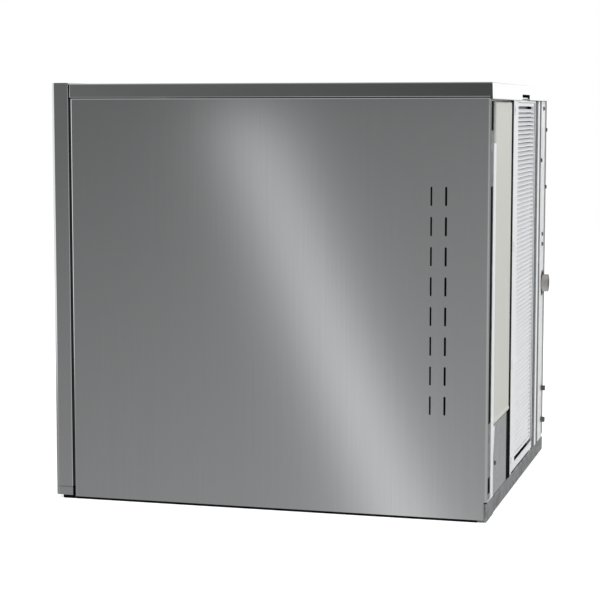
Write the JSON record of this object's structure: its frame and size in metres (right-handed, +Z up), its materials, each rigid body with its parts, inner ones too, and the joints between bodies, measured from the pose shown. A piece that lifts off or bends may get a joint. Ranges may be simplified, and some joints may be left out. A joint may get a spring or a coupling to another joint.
{
  "type": "ice machine",
  "caption": "Modular cube ice machine head that stands on a bin: stainless cabinet with hinged door, evaporator with swinging water curtain, and air-cooled machinery.",
  "frame": {"origin": "centre of the underside, on the plane of the bin's top", "axes": "+Z up, -Y towards the front door, +X towards the right side seen from the front"},
  "size_m": [0.559, 0.635, 0.5955],
  "materials": {
    "stainless": "brushed stainless sheet",
    "galvanised": "galvanised sheet with spangle",
    "white_paint": "white powder coat",
    "cover_plastic": "pale moulded cover",
    "liner_plastic": "moulded ABS",
    "black_foam": "closed-cell foam",
    "black_rubber": "rubber seal",
    "black_plastic": "moulded",
    "grille_paint": "light grey coat",
    "tinned_copper": "tinned",
    "copper": "drawn copper tube",
    "brass": "turned brass",
    "nickel": "nickel plated",
    "aluminium_fin": "pressed fins",
    "black_enamel": "black enamel",
    "motor_steel": "grey painted steel",
    "clear_hose": "milky vinyl",
    "nylon": "moulded nylon",
    "zinc": "zinc plated"
  },
  "bodies": {
    "cabinet": {"bin_gasket": "black_foam", "base_pan": "galvanised", "rear_base_rail": "galvanised", "rear_corner_bracket": "galvanised", "front_frame": "stainless", "right_side_panel": "stainless", "left_side_panel": "stainless", "top_panel": "stainless", "notch_tab": "galvanised", "right_rear_post": "galvanised", "post_foam": "black_foam", "rear_edge_trim": "white_paint", "rear_insulation_panel": "cover_plastic", "rear_lower_panel": "galvanised", "condenser_frame": "white_paint", "condenser_grille": "grille_paint", "divider_foam": "black_foam", "rear_divider": "white_paint", "rear_service_panel": "galvanised", "inlet_plate": "black_plastic", "water_inlet_fitting": "nickel", "rear_screws": "zinc", "food_zone_liner": "liner_plastic", "side_insulation": "black_foam", "evaporator_plate": "tinned_copper", "evaporator_tube": "copper", "water_distributor": "black_plastic", "curtain_hangers": "nylon", "ice_probe": "black_plastic", "water_trough": "liner_plastic", "water_pump": "black_plastic", "supply_tube": "clear_hose", "float_valve": "nylon", "inlet_tube": "copper", "compressor": "black_enamel", "compressor_grommets": "black_rubber", "condenser_coil": "aluminium_fin", "fan_shroud": "galvanised", "fan_motor": "motor_steel", "filter_drier": "copper", "expansion_valve": "brass", "discharge_line": "copper", "suction_line": "copper", "liquid_line": "copper", "feed_line": "copper", "control_box": "galvanised", "control_box_cover": "galvanised", "power_switch": "black_plastic", "wiring_harness": "black_plastic", "front_trim": "stainless", "lower_hinge": "zinc", "upper_hinge": "zinc"},
    "door": {"front_door": "stainless", "door_inner_panel": "liner_plastic", "door_gasket": "black_rubber", "hinge_bushes": "nylon"},
    "curtain": {"water_curtain": "liner_plastic"},
    "float": {"float_arm": "nylon"},
    "fan": {"fan_blade": "aluminium_fin"},
    "lever": {"switch_lever": "zinc"}
  },
  "joints": [
    {"name": "door_hinge", "type": "hinge", "parent": "cabinet", "child": "door", "pos_m": [-0.2745, -0.3124, 0.3], "axis": [0, 0, -1], "range_deg": [0, 110]},
    {"name": "curtain_swing", "type": "hinge", "parent": "cabinet", "child": "curtain", "pos_m": [0.152, -0.034, 0.5], "axis": [0, -1, 0], "range_deg": [0, 12]},
    {"name": "float_lift", "type": "hinge", "parent": "cabinet", "child": "float", "pos_m": [0.126, 0.242, 0.092], "axis": [-1, 0, 0], "range_deg": [0, 18]},
    {"name": "fan_spin", "type": "hinge", "parent": "cabinet", "child": "fan", "pos_m": [-0.065, 0.231, 0.304], "axis": [0, 1, 0], "continuous": true},
    {"name": "switch_tilt", "type": "hinge", "parent": "cabinet", "child": "lever", "pos_m": [-0.11, -0.266, 0.52], "axis": [1, 0, 0], "range_deg": [-13, 13]}
  ]
}
